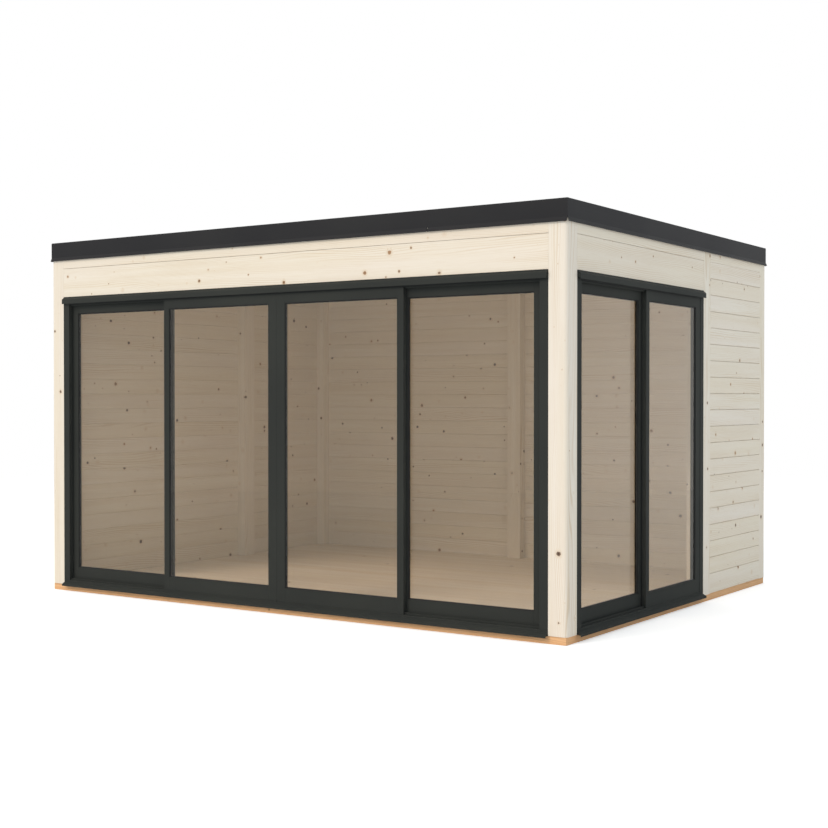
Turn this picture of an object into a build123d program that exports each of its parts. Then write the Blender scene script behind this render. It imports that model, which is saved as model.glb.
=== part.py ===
from build123d import *
import os

# Garden house of timber posts and boards, with two sliding door units, in millimetres.
# X runs along the front, Y runs from the front to the back, Z is up.
# The origin is on the ground, in the middle of the wall faces.

# Walls and posts
wall_length = 4174
wall_depth = 3179
house_height = 2500
post_size = 120
arris_radius = 25
board_thickness = 44
board_pitch = 112
board_groove_width = 7
board_groove_depth = 3.5

# Base and floor
base_height = 46
base_width = 100
base_inset = 7
joist_width = 70
joist_count = 5
floor_thickness = 19
floor_board_pitch = 121
floor_groove_width = 4
floor_groove_depth = 2
floor_gap = 5

# Roof
edge_height = 190
edge_board_thickness = 44
rafter_width = 45
rafter_height = 120
rafter_count = 7
plate_height = 60
deck_thickness = 18
membrane_thickness = 3
sheet_thickness = 2
fascia_height = 132
fascia_fold = 58
hem_reach = 13
hem_drop = 26

# Door units
header_height = 205
frame_gap = 2
side_unit_width = 1856
jamb_width = 54
jamb_web = 33
frame_flange = 5
head_height = 30
cap_height = 48
cap_reach = 19
cap_fall = 14
cap_radius = 5
sill_height = 34
sill_upstand = 6
sill_lip_reach = 26
sill_lip_drop = 10
sill_lip_face = 12
sill_slope_height = 14

# Sashes
sash_depth = 28
sash_recess = 2
sash_gap = 6
back_gap = 1
channel_gap = 2
running_gap = 5
jamb_stile = 70
meeting_stile = 66
interlock_stile = 47
bottom_rail = 84
top_rail = 63
interlock_overlap = 40
side_interlock_overlap = 14
side_interlock_shift = 22
glass_thickness = 12
glass_bite = 12
glass_gap = 0.3
bead_chamfer = 3
track_width = 6
track_play = 3
track_slot_height = 8
guide_width = 4
guide_play = 3
guide_bite = 10
guide_headroom = 5
seat_gap = 0.3

# Places that follow from the sizes above
half_length = wall_length / 2
half_depth = wall_depth / 2
front_face = -half_depth
board_top = house_height - edge_height
front_unit_width = wall_length - 2 * post_size - 2 * frame_gap
header_bottom = board_top - header_height
fascia_bottom = house_height - fascia_height
side_post_front = front_face + post_size + side_unit_width + 2 * frame_gap
deck_bottom = board_top + rafter_height
deck_top = deck_bottom + deck_thickness
post_top = house_height - sheet_thickness
sill_top = base_height + sill_height
sash_bottom = sill_top + sill_upstand
head_bottom = header_bottom - head_height
cap_bottom = header_bottom - cap_height
sash_top = cap_bottom - running_gap
inner_recess = sash_recess + sash_depth + sash_gap
frame_depth = inner_recess + sash_depth + back_gap + frame_flange
track_slot = track_width + 2 * track_play
guide_slot = guide_width + 2 * guide_play
guide_slot_height = guide_bite + guide_headroom


# A box between two corners
def block(x0, x1, y0, y1, z0, z1):
    return Pos((x0 + x1) / 2, (y0 + y1) / 2, (z0 + z1) / 2) * Box(x1 - x0, y1 - y0, z1 - z0)


# A bar along X with the outline given as (y, z) points
def bar(x0, x1, outline):
    face = make_face(Polyline(*[(x0, y, z) for y, z in outline], close=True))
    return extrude(face, amount=x1 - x0, dir=(1, 0, 0))


# A full height post, rebated at its top for the roof deck so that its outer part backs the fascia
def rebated_post(place):
    x0, x1, y0, y1 = place
    inner_x = half_length - edge_board_thickness
    inner_y = half_depth - edge_board_thickness
    rebate = block(-inner_x, inner_x, -inner_y, inner_y, deck_bottom, post_top + 1)
    return block(x0, x1, y0, y1, base_height, post_top) - rebate


# A corner post, with its outer corner rounded, where side_x and side_y point to that corner
def corner_post(side_x, side_y):
    post = rebated_post(corner_place(side_x, side_y))
    outer_corner = (side_x * half_length, side_y * half_depth, house_height / 2)
    outer_edge = post.edges().filter_by(Axis.Z).sort_by_distance(outer_corner)[0]
    return fillet(outer_edge, arris_radius)


def corner_place(side_x, side_y):
    x0, x1 = sorted((side_x * half_length, side_x * (half_length - post_size)))
    y0, y1 = sorted((side_y * half_depth, side_y * (half_depth - post_size)))
    return x0, x1, y0, y1


# The outline of stacked boards, with a V groove at each joint on both faces
def board_outline(bottom, top, first_joint, pitch, thickness, groove_width, groove_depth):
    joints = []
    level = first_joint
    while level > bottom + pitch / 4:
        joints.append(level)
        level -= pitch
    outer = [(0, top)]
    inner = [(thickness, top)]
    for level in joints:
        outer += [(0, level + groove_width / 2), (groove_depth, level), (0, level - groove_width / 2)]
        inner += [
            (thickness, level + groove_width / 2),
            (thickness - groove_depth, level),
            (thickness, level - groove_width / 2),
        ]
    outer.append((0, bottom))
    inner.append((thickness, bottom))
    return outer + inner[::-1]


# A wall panel that starts at the local origin, runs along X and is thick along Y
def wall_panel(length):
    outline = board_outline(
        base_height, board_top, board_top - board_pitch, board_pitch,
        board_thickness, board_groove_width, board_groove_depth,
    )
    return bar(0, length, outline)


# One side of a mitred ring, cut by the diagonals at its two corners
def mitre_cut(side, reach, bottom, top):
    outer_x = half_length + reach
    outer_y = half_depth + reach
    inward = min(half_length, half_depth) / 2
    near = outer_y if side in ("front", "back") else outer_x
    half_run = outer_x if side in ("front", "back") else outer_y
    corners = [
        (-half_run, -near), (half_run, -near),
        (half_run - inward, -near + inward), (-half_run + inward, -near + inward),
    ]
    face = make_face(Polyline(*[(x, y, bottom) for x, y in corners], close=True))
    return turn[side] * extrude(face, amount=top - bottom, dir=(0, 0, 1))


turn = {"front": Rot(0, 0, 0), "right": Rot(0, 0, 90), "back": Rot(0, 0, 180), "left": Rot(0, 0, 270)}


# A bar along one side of the house, with its outline as (distance in from the wall face, z)
def side_bar(side, outline, reach):
    near = half_depth if side in ("front", "back") else half_length
    half_run = (half_length if side in ("front", "back") else half_depth) + reach
    run = bar(-half_run, half_run, [(-near + y, z) for y, z in outline])
    heights = [z for y, z in outline]
    return turn[side] * run & mitre_cut(side, reach, min(heights) - 1, max(heights) + 1)


# Posts between the corners, as (x0, x1, y0, y1)
side_door_place = (half_length - post_size, half_length, side_post_front, side_post_front + post_size)
left_wall_place = (-half_length, -half_length + post_size, side_post_front, side_post_front + post_size)
back_wall_place = (-post_size / 2, post_size / 2, half_depth - post_size, half_depth)


# Base beams, joists and floor
def base_beam(side):
    outline = [
        (base_inset, 0), (base_inset + base_width, 0),
        (base_inset + base_width, base_height), (base_inset, base_height),
    ]
    return side_bar(side, outline, 0)


def floor_joists():
    inner_x = half_length - base_inset - base_width
    inner_y = half_depth - base_inset - base_width
    spacing = 2 * inner_y / (joist_count + 1)
    joists = []
    for index in range(joist_count):
        y = -inner_y + spacing * (index + 1)
        joists.append(block(-inner_x, inner_x, y - joist_width / 2, y + joist_width / 2, 0, base_height))
    return joists


def floor_boards():
    x_left = -half_length + board_thickness + floor_gap
    x_right = half_length - frame_depth - floor_gap
    y_front = front_face + frame_depth + floor_gap
    y_back = half_depth - board_thickness - floor_gap
    top = base_height + floor_thickness
    outline = [(y_front, base_height), (y_back, base_height), (y_back, top)]
    joint = y_back - floor_board_pitch
    while joint > y_front + floor_board_pitch / 4:
        outline.append((joint + floor_groove_width / 2, top))
        outline.append((joint, top - floor_groove_depth))
        outline.append((joint - floor_groove_width / 2, top))
        joint -= floor_board_pitch
    outline.append((y_front, top))
    floor = bar(x_left, x_right, outline)
    margin = post_size + floor_gap
    corners = [corner_place(side_x, side_y) for side_x in (-1, 1) for side_y in (-1, 1)]
    for x0, x1, y0, y1 in corners + [side_door_place, left_wall_place, back_wall_place]:
        floor -= block(x0 - floor_gap, x1 + floor_gap, y0 - floor_gap, y1 + floor_gap, 0, top + 1)
    inner_right = half_length - board_thickness - floor_gap
    rear_strip_front = side_post_front + margin
    if rear_strip_front < half_depth - margin:
        floor += block(x_right, inner_right, rear_strip_front, half_depth - margin, base_height, top)
    return floor


# Boarded walls
def back_panel(x0, x1):
    return Pos(x1, half_depth, 0) * Rot(0, 0, 180) * wall_panel(x1 - x0)


def left_panel(y0, y1):
    return Pos(-half_length, y1, 0) * Rot(0, 0, -90) * wall_panel(y1 - y0)


def right_panel(y0, y1):
    return Pos(half_length, y0, 0) * Rot(0, 0, 90) * wall_panel(y1 - y0)


# Headers over the doors
def front_header():
    return block(
        -half_length + post_size, half_length - post_size,
        front_face, front_face + post_size, header_bottom, board_top,
    )


def side_header():
    return block(
        half_length - post_size, half_length,
        front_face + post_size, side_post_front, header_bottom, board_top,
    )


# Roof edge boards, each between two posts
def roof_edge_boards():
    thickness = edge_board_thickness
    inner_x = half_length - post_size
    inner_y = half_depth - post_size
    back_post_half = post_size / 2
    post_back = side_post_front + post_size
    runs = [
        (-inner_x, inner_x, -half_depth, -half_depth + thickness),
        (-inner_x, -back_post_half, half_depth - thickness, half_depth),
        (back_post_half, inner_x, half_depth - thickness, half_depth),
    ]
    for y0, y1 in ((-inner_y, side_post_front), (post_back, inner_y)):
        runs.append((-half_length, -half_length + thickness, y0, y1))
        runs.append((half_length - thickness, half_length, y0, y1))
    return [block(x0, x1, y0, y1, board_top, post_top) for x0, x1, y0, y1 in runs]


# Wall plates behind the top of the back wall, which carry the rafters there
def wall_plates():
    y0 = half_depth - post_size
    y1 = half_depth - board_thickness
    inner_x = half_length - post_size
    runs = ((-inner_x, -post_size / 2), (post_size / 2, inner_x))
    return [block(x0, x1, y0, y1, board_top - plate_height, board_top) for x0, x1 in runs]


# Rafters from the front header to the back wall plates, with the middle one ending at the back post
def rafters():
    first = -half_length + post_size
    front_end = -half_depth + edge_board_thickness
    back_end = half_depth - edge_board_thickness
    spacing = (-2 * first - rafter_width) / (rafter_count - 1)
    pieces = []
    for index in range(rafter_count):
        x = first + spacing * index
        meets_post = x < post_size / 2 and x + rafter_width > -post_size / 2
        end = half_depth - post_size if meets_post else back_end
        pieces.append(block(x, x + rafter_width, front_end, end, board_top, deck_bottom))
    return pieces


def roof_deck():
    x = half_length - edge_board_thickness
    y = half_depth - edge_board_thickness
    return block(-x, x, -y, y, deck_bottom, deck_top)


def roof_covering():
    x = half_length - edge_board_thickness
    y = half_depth - edge_board_thickness
    tray = block(-x, x, -y, y, deck_top, post_top)
    hollow = block(
        -x + membrane_thickness, x - membrane_thickness, -y + membrane_thickness, y - membrane_thickness,
        deck_top + membrane_thickness, post_top + 1,
    )
    return tray - hollow


# Sheet metal fascia, mitred and folded over the edge boards, with a hem kicked out below.
# The hems stop at the wall corners, so each corner has a small open notch.
def fascia(side):
    hem_top = fascia_bottom + hem_drop
    sheet = [
        (fascia_fold, post_top), (fascia_fold, house_height), (-sheet_thickness, house_height),
        (-sheet_thickness, hem_top), (0, hem_top), (0, post_top),
    ]
    hem = [
        (-sheet_thickness, hem_top), (-hem_reach, fascia_bottom),
        (-hem_reach + sheet_thickness, fascia_bottom), (0, hem_top),
    ]
    near = half_depth if side in ("front", "back") else half_length
    half_run = half_length if side in ("front", "back") else half_depth
    straight_hem = turn[side] * bar(-half_run, half_run, [(-near + y, z) for y, z in hem])
    return side_bar(side, sheet, sheet_thickness) + straight_hem


# Door units are drawn with x along the unit, y in from the wall face, then placed
def door_head(width):
    outline = [
        (-cap_reach, cap_bottom), (0, cap_bottom), (0, head_bottom), (frame_depth, head_bottom),
        (frame_depth, header_bottom), (0, header_bottom), (-cap_reach, header_bottom - cap_fall),
    ]
    head = bar(0, width, outline)
    nose_middle = (width / 2, -cap_reach, header_bottom - cap_fall)
    nose_edge = head.edges().filter_by(Axis.X).sort_by_distance(nose_middle)[0]
    head = fillet(nose_edge, cap_radius)
    for y in (0, frame_depth - frame_flange):
        head += block(jamb_width, width - jamb_width, y, y + frame_flange, cap_bottom, head_bottom)
    for recess, end in ((sash_recess, jamb_width), (inner_recess, jamb_web)):
        middle = recess + sash_depth / 2
        head += block(
            end, width - end, middle - guide_width / 2, middle + guide_width / 2,
            sash_top - guide_bite, head_bottom,
        )
    return head


def door_sill(width):
    lip_bottom = base_height - sill_lip_drop
    outline = [
        (0, sill_top), (0, lip_bottom + sill_lip_face + sill_slope_height),
        (-sill_lip_reach, lip_bottom + sill_lip_face), (-sill_lip_reach, lip_bottom),
        (-sill_lip_reach + frame_flange, lip_bottom), (0, base_height),
        (frame_depth, base_height), (frame_depth, sill_top),
    ]
    sill = bar(0, width, outline)
    sill += block(
        jamb_width, width - jamb_width, frame_depth - frame_flange, frame_depth, sill_top, sash_bottom
    )
    for recess, end in ((sash_recess, jamb_width), (inner_recess, jamb_web)):
        middle = recess + sash_depth / 2
        sill += block(
            end, width - end, middle - track_width / 2, middle + track_width / 2,
            sill_top, sash_bottom + track_slot_height - seat_gap,
        )
    return sill


# The jambs are solid beside the outer sashes, with a channel for the inner ones behind
def door_jambs(width):
    channel_front = inner_recess - channel_gap
    channel_back = frame_depth - frame_flange
    left = block(0, jamb_width, 0, frame_depth, sill_top, head_bottom)
    left -= block(
        jamb_web, jamb_width + 1, channel_front, channel_back, sill_top - 1, head_bottom + 1,
    )
    right = block(width - jamb_width, width, 0, frame_depth, sill_top, head_bottom)
    right -= block(
        width - jamb_width - 1, width - jamb_web, channel_front, channel_back,
        sill_top - 1, head_bottom + 1,
    )
    return [left, right]


# A glazed sash between x0 and x1, with its face at the given depth
def sash_frame(x0, x1, recess, left_stile, right_stile):
    back = recess + sash_depth
    middle = recess + sash_depth / 2
    open_left = x0 + left_stile
    open_right = x1 - right_stile
    open_bottom = sash_bottom + bottom_rail
    open_top = sash_top - top_rail
    frame = block(x0, x1, recess, back, sash_bottom, sash_top)
    frame -= block(open_left, open_right, recess - 1, back + 1, open_bottom, open_top)
    bead_edges = frame.edges().filter_by(
        lambda edge: open_left - 0.1 < edge.center().X < open_right + 0.1
        and open_bottom - 0.1 < edge.center().Z < open_top + 0.1
        and abs(edge.center().Y - recess) < 0.1
    )
    frame = chamfer(bead_edges, bead_chamfer)
    pane_front = recess + (sash_depth - glass_thickness) / 2
    frame -= block(
        open_left - glass_bite, open_right + glass_bite,
        pane_front - glass_gap, pane_front + glass_thickness + glass_gap,
        open_bottom - glass_bite, open_top + glass_bite,
    )
    frame -= block(
        x0 - 1, x1 + 1, middle - guide_slot / 2, middle + guide_slot / 2,
        sash_top - guide_slot_height, sash_top + 1,
    )
    frame -= block(
        x0 - 1, x1 + 1, middle - track_slot / 2, middle + track_slot / 2,
        sash_bottom - 1, sash_bottom + track_slot_height,
    )
    return frame


def sash_pane(x0, x1, recess, left_stile, right_stile):
    bite = glass_bite - glass_gap
    pane_front = recess + (sash_depth - glass_thickness) / 2
    return block(
        x0 + left_stile - bite, x1 - right_stile + bite,
        pane_front, pane_front + glass_thickness,
        sash_bottom + bottom_rail - bite, sash_top - top_rail + bite,
    )


# Sashes of the front unit, from left to right, and of the side unit, from front to back
sash_start = jamb_web + running_gap
front_middle = front_unit_width / 2
front_interlock = (sash_start + front_middle) / 2
front_sashes = {
    "fixed_left": (sash_start, front_interlock + interlock_overlap / 2, inner_recess,
                   jamb_stile, interlock_stile),
    "slide_left": (front_interlock - interlock_overlap / 2, front_middle - running_gap / 2,
                   sash_recess, interlock_stile, meeting_stile),
}
for name, (x0, x1, recess, left_stile, right_stile) in list(front_sashes.items()):
    mirrored = (front_unit_width - x1, front_unit_width - x0, recess, right_stile, left_stile)
    front_sashes[name.replace("left", "right")] = mirrored
side_interlock = side_unit_width / 2 + side_interlock_shift
side_sashes = {
    "fixed": (sash_start, side_interlock, inner_recess, jamb_stile, interlock_stile),
    "slide": (side_interlock - side_interlock_overlap, side_unit_width - jamb_width - running_gap,
              sash_recess, interlock_stile, jamb_stile),
}

front_place = Pos(-half_length + post_size + frame_gap, front_face, 0)
side_place = Pos(half_length, front_face + post_size + frame_gap, 0) * Rot(0, 0, 90)

pieces = {
    "base_beam_front": base_beam("front"),
    "base_beam_back": base_beam("back"),
    "base_beam_left": base_beam("left"),
    "base_beam_right": base_beam("right"),
    "floor_joists": floor_joists(),
    "floor_boards": floor_boards(),
    "corner_post_front_left": corner_post(-1, -1),
    "corner_post_front_right": corner_post(1, -1),
    "corner_post_back_left": corner_post(-1, 1),
    "corner_post_back_right": corner_post(1, 1),
    "side_door_post": rebated_post(side_door_place),
    "left_wall_post": rebated_post(left_wall_place),
    "back_wall_post": rebated_post(back_wall_place),
    "left_wall_front": left_panel(front_face + post_size, side_post_front),
    "left_wall_rear": left_panel(side_post_front + post_size, half_depth - post_size),
    "back_wall_left": back_panel(-half_length + post_size, -post_size / 2),
    "back_wall_right": back_panel(post_size / 2, half_length - post_size),
    "right_wall_rear": right_panel(side_post_front + post_size, half_depth - post_size),
    "front_header": front_header(),
    "side_header": side_header(),
    "roof_edge_boards": roof_edge_boards(),
    "wall_plates": wall_plates(),
    "rafters": rafters(),
    "roof_deck": roof_deck(),
    "roof_covering": roof_covering(),
    "fascia_front": fascia("front"),
    "fascia_back": fascia("back"),
    "fascia_left": fascia("left"),
    "fascia_right": fascia("right"),
    "front_door_head": front_place * door_head(front_unit_width),
    "front_door_sill": front_place * door_sill(front_unit_width),
    "front_door_jambs": [front_place * jamb for jamb in door_jambs(front_unit_width)],
    "side_door_head": side_place * door_head(side_unit_width),
    "side_door_sill": side_place * door_sill(side_unit_width),
    "side_door_jambs": [side_place * jamb for jamb in door_jambs(side_unit_width)],
    "front_fixed_sashes": [
        front_place * sash_frame(*front_sashes["fixed_left"]),
        front_place * sash_frame(*front_sashes["fixed_right"]),
    ],
    "front_fixed_panes": [
        front_place * sash_pane(*front_sashes["fixed_left"]),
        front_place * sash_pane(*front_sashes["fixed_right"]),
    ],
    "front_left_sliding_sash": front_place * sash_frame(*front_sashes["slide_left"]),
    "front_left_sliding_pane": front_place * sash_pane(*front_sashes["slide_left"]),
    "front_right_sliding_sash": front_place * sash_frame(*front_sashes["slide_right"]),
    "front_right_sliding_pane": front_place * sash_pane(*front_sashes["slide_right"]),
    "side_fixed_sash": side_place * sash_frame(*side_sashes["fixed"]),
    "side_fixed_pane": side_place * sash_pane(*side_sashes["fixed"]),
    "side_sliding_sash": side_place * sash_frame(*side_sashes["slide"]),
    "side_sliding_pane": side_place * sash_pane(*side_sashes["slide"]),
}

os.makedirs("parts", exist_ok=True)
for name, shape in pieces.items():
    solids = []
    for item in shape if isinstance(shape, list) else [shape]:
        solids += list(item.solids())
    whole = solids[0] if len(solids) == 1 else Compound(children=solids)
    export_step(whole, f"parts/{name}.step")
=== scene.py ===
import math
import random

import bmesh
import bpy
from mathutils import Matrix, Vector


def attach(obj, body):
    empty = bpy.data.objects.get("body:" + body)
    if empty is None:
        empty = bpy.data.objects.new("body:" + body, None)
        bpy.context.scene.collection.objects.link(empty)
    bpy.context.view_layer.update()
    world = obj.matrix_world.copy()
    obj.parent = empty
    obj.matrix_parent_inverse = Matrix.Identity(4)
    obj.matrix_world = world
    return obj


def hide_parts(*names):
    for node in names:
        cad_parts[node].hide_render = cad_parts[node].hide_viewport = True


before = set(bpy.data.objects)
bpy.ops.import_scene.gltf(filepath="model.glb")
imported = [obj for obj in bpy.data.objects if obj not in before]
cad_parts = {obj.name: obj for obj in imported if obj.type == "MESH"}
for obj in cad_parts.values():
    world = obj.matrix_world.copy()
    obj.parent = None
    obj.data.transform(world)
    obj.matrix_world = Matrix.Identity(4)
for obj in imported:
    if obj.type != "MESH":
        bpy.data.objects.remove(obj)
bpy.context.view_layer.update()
print("frame loaded", len(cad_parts), "nodes")


# Colours are written as seen on screen, 0 to 255
def tone(red, green, blue):
    linear = []
    for part in (red, green, blue):
        share = part / 255
        linear.append(share / 12.92 if share <= 0.04045 else ((share + 0.055) / 1.055) ** 2.4)
    return (*linear, 1)


# A socket that takes part in plain arithmetic, each operator adding a Math node
class Field:
    def __init__(self, shader, socket):
        self.shader = shader
        self.socket = socket

    def maths(self, operation, *others):
        values = [other.socket if isinstance(other, Field) else other for other in others]
        return self.shader.node("ShaderNodeMath", {"operation": operation}, [self.socket, *values])

    def __add__(self, other):
        return self.maths("ADD", other)

    def __sub__(self, other):
        return self.maths("SUBTRACT", other)

    def __rsub__(self, other):
        return self.shader.node("ShaderNodeMath", {"operation": "SUBTRACT"}, [other, self.socket])

    def __mul__(self, other):
        return self.maths("MULTIPLY", other)

    def __truediv__(self, other):
        return self.maths("DIVIDE", other)

    def power(self, other):
        return self.maths("POWER", other)

    def greater(self, other):
        return self.maths("MAXIMUM", other)

    def sine(self):
        return self.maths("SINE")

    # 0 below low, 1 above high, smooth between
    def rise(self, low, high):
        settings = {"interpolation_type": "SMOOTHSTEP"}
        return self.shader.node("ShaderNodeMapRange", settings, [self.socket, low, high, 0.0, 1.0])

    __radd__ = __add__
    __rmul__ = __mul__


# The nodes of a material or of the world
class Shader:
    def __init__(self, owner):
        owner.use_nodes = True
        self.owner = owner
        self.tree = owner.node_tree
        self.tree.nodes.clear()

    # Adds a node: its settings first, then values or links for its sockets, in order or by name
    def node(self, kind, settings=None, sockets=None, output=0):
        made = self.tree.nodes.new(kind)
        for key, value in (settings or {}).items():
            setattr(made, key, value)
        pairs = sockets.items() if isinstance(sockets, dict) else enumerate(sockets or [])
        for key, value in pairs:
            target = made.inputs[key]
            if isinstance(value, Field):
                value = value.socket
            if isinstance(value, bpy.types.NodeSocket):
                self.tree.links.new(value, target)
            else:
                target.default_value = value
        return Field(self, made.outputs[output]) if made.outputs else made

    def mixColours(self, share, first, second):
        return self.node("ShaderNodeMix", {"data_type": "RGBA"}, {0: share, 6: first, 7: second}, output=2)

    def split(self, field):
        first = self.node("ShaderNodeSeparateXYZ", {}, [field])
        return [Field(self, output) for output in first.socket.node.outputs]

    # A noise pattern of the place, stretched by a scale for each direction
    def noise(self, place, stretch, detail=2.0, roughness=0.5):
        scaled = self.node("ShaderNodeVectorMath", {"operation": "MULTIPLY"}, [place, stretch])
        sockets = {"Vector": scaled, "Scale": 1.0, "Detail": detail, "Roughness": roughness}
        return self.node("ShaderNodeTexNoise", {}, sockets)

    def bump(self, height, depth):
        return self.node("ShaderNodeBump", {}, {"Height": height, "Distance": depth, "Strength": 1.0})

    def surface(self, sockets):
        return self.finish(self.node("ShaderNodeBsdfPrincipled", {}, sockets))

    def finish(self, shown):
        self.node("ShaderNodeOutputMaterial", {}, {"Surface": shown})
        return self.owner


# How fast each pattern of the timber varies along, across and through it, per metre
grainScale = {
    "wobble": (90, 90, 90), "drift": (0.55, 4.5, 4.5), "ringFade": (0.7, 12, 12),
    "streak": (0.8, 22, 22), "fibre": (9, 420, 420), "cloud": (0.5, 3, 3),
}
# The values between which each pattern of the timber rises from nothing to full
grainEdge = {
    "knot": (0.75, 1.05), "knotCore": (0.15, 0.6), "knotHalo": (0.9, 2.2), "knotPale": (0.45, 0.95),
    "ring": (0.1, 0.95), "ringFade": (0.38, 0.68), "streak": (0.3, 0.7), "cloud": (0.3, 0.7),
    "fibre": (0.45, 0.8),
}
# How much each of them counts
grainShare = {
    "wobble": 0.5, "ringSlant": 0.4, "roughness": 0.6, "fibreHeight": 0.35, "ringHeight": 0.5,
    "knotHeight": 0.3, "fibreGloss": 0.2,
}


# Timber: grainPlace holds the place along, across and through each timber, boardTone its own tint
def woodFinish(name, look):
    shader = Shader(bpy.data.materials.new(name))
    place = shader.node("ShaderNodeAttribute", {"attribute_name": "grainPlace"}, output=1)
    boardTone = shader.node("ShaderNodeAttribute", {"attribute_name": "boardTone"}, output=2)
    along, across, through = shader.split(place)

    cells = shader.node(
        "ShaderNodeTexVoronoi", {}, {"Vector": place, "Scale": 1 / look["knotSpacing"], "Randomness": 1.0}
    )
    cellTint = shader.split(Field(shader, cells.socket.node.outputs["Color"]))
    # Most knots are small, because the random share is cubed
    knotRadius = cellTint[0].power(3) * look["knotSpread"] + look["knotLeast"]
    knotShare = cells * look["knotSpacing"] / knotRadius
    wobble = shader.noise(place, grainScale["wobble"], 2)
    knotShare = knotShare + (wobble - 0.5) * grainShare["wobble"]
    knot = 1 - knotShare.rise(*grainEdge["knot"])
    knotCore = 1 - knotShare.rise(*grainEdge["knotCore"])
    knotHalo = 1 - knotShare.rise(*grainEdge["knotHalo"])

    drift = shader.noise(place, grainScale["drift"], 2)
    ringPlace = across + through * grainShare["ringSlant"] + drift * look["ringDrift"]
    ringPlace = ringPlace + knotHalo * look["knotSwirl"]
    ring = (ringPlace * (2 * math.pi / look["ringSpacing"])).sine().rise(*grainEdge["ring"])
    ringFade = shader.noise(place, grainScale["ringFade"], 2).rise(*grainEdge["ringFade"])
    streak = shader.noise(place, grainScale["streak"], 4, grainShare["roughness"]).rise(*grainEdge["streak"])
    fibre = shader.noise(place, grainScale["fibre"], 3, grainShare["roughness"])
    cloud = shader.noise(place, grainScale["cloud"], 2).rise(*grainEdge["cloud"])

    colour = shader.mixColours(streak, look["pale"], look["warm"])
    colour = shader.mixColours(cloud * look["cloudShare"], colour, look["fresh"])
    colour = shader.mixColours(boardTone * look["tintShare"], colour, look["tint"])
    colour = shader.mixColours(ring * ringFade * look["ringShare"], colour, look["late"])
    fibreShade = fibre.rise(*grainEdge["fibre"]) * look["fibreShare"]
    colour = shader.mixColours(fibreShade, colour, look["late"])
    colour = shader.mixColours(knotHalo * look["haloShare"], colour, look["halo"])
    knotColour = shader.mixColours(cellTint[2].rise(*grainEdge["knotPale"]), look["knot"], look["knotPale"])
    colour = shader.mixColours(knot * look["knotShade"], colour, knotColour)
    colour = shader.mixColours(knotCore * look["knotShade"], colour, look["core"])

    height = fibre * grainShare["fibreHeight"] + ring * ringFade * grainShare["ringHeight"]
    height = height - knot * grainShare["knotHeight"]
    return shader.surface({
        "Base Color": colour,
        "Roughness": fibre * grainShare["fibreGloss"] + look["roughness"],
        "Specular IOR Level": look["shine"],
        "Normal": shader.bump(height, look["grainDepth"]),
    })


coatGrain = {"cloudScale": (1.3, 1.3, 1.3), "cloudEdge": (0.3, 0.7), "cloudGloss": 0.1}


# Powder coat and coated sheet: an even colour with a faint cloud and a fine orange peel
def coatFinish(name, look):
    shader = Shader(bpy.data.materials.new(name))
    place = shader.node("ShaderNodeTexCoord", {}, output=3)
    cloud = shader.noise(place, coatGrain["cloudScale"], 3)
    peel = shader.noise(place, (1.0 / look["peelSize"],) * 3, 2)
    colour = shader.mixColours(cloud.rise(*coatGrain["cloudEdge"]), look["colour"], look["second"])
    return shader.surface({
        "Base Color": colour,
        "Roughness": cloud * coatGrain["cloudGloss"] + look["roughness"],
        "Specular IOR Level": look["shine"],
        "Normal": shader.bump(peel, look["peelDepth"]),
    })


spruceLook = {
    "pale": tone(243, 235, 220),
    "warm": tone(237, 226, 206),
    "fresh": tone(240, 229, 218),
    "cloudShare": 0.5,
    "tint": tone(236, 222, 198),
    "tintShare": 0.45,
    "late": tone(203, 172, 128),
    "ringSpacing": 0.011,
    "ringDrift": 0.16,
    "ringShare": 0.4,
    "fibreShare": 0.16,
    "halo": tone(211, 177, 132),
    "haloShare": 0.28,
    "knot": tone(98, 70, 50),
    "knotPale": tone(176, 132, 88),
    "core": tone(48, 35, 27),
    "knotShade": 0.9,
    "knotSpacing": 0.09,
    "knotLeast": 0.0035,
    "knotSpread": 0.012,
    "knotSwirl": 0.02,
    "roughness": 0.5,
    "shine": 0.3,
    "grainDepth": 0.0006,
}
spruce = woodFinish("spruce", spruceLook)
# Floor boards: spruce with fewer knots and a little more gloss. Their pale and warm tones are lighter than
# the walls' as painted light, which stands in for sun on the floor
floorLookWithPaintedSun = dict(
    spruceLook, pale=tone(250, 244, 234), warm=tone(245, 235, 220), knotSpacing=0.15, roughness=0.42,
)
floorWood = woodFinish("floorWood", floorLookWithPaintedSun)
impregnatedLook = dict(
    spruceLook,
    pale=tone(246, 200, 151), warm=tone(233, 181, 131), fresh=tone(238, 188, 137),
    tint=tone(219, 171, 125), late=tone(166, 114, 72), halo=tone(160, 108, 66), knot=tone(104, 66, 40),
    ringShare=0.5, fibreShare=0.4,
    knotSpacing=0.15, roughness=0.62, grainDepth=0.0012,
)
impregnated = woodFinish("impregnatedWood", impregnatedLook)

aluminiumLook = {
    "colour": tone(57, 59, 56), "second": tone(53, 55, 53), "roughness": 0.5, "shine": 0.04,
    "peelSize": 0.0012, "peelDepth": 0.00008,
}
aluminium = coatFinish("anthraciteCoat", aluminiumLook)
sheetLook = {
    "colour": tone(48, 48, 49), "second": tone(44, 44, 46), "roughness": 0.45, "shine": 0.08,
    "peelSize": 0.003, "peelDepth": 0.00006,
}
sheet = coatFinish("coatedSheet", sheetLook)
rubberLook = {
    "colour": tone(34, 35, 36), "second": tone(28, 29, 30), "roughness": 0.7, "shine": 0.35,
    "peelSize": 0.004, "peelDepth": 0.0002,
}
rubber = coatFinish("blackRubber", rubberLook)
spacerLook = {
    "colour": tone(36, 36, 36), "second": tone(31, 31, 32), "roughness": 0.3, "shine": 0.5,
    "peelSize": 0.002, "peelDepth": 0.00005,
}
spacerMetal = coatFinish("spacerBar", spacerLook)


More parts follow.
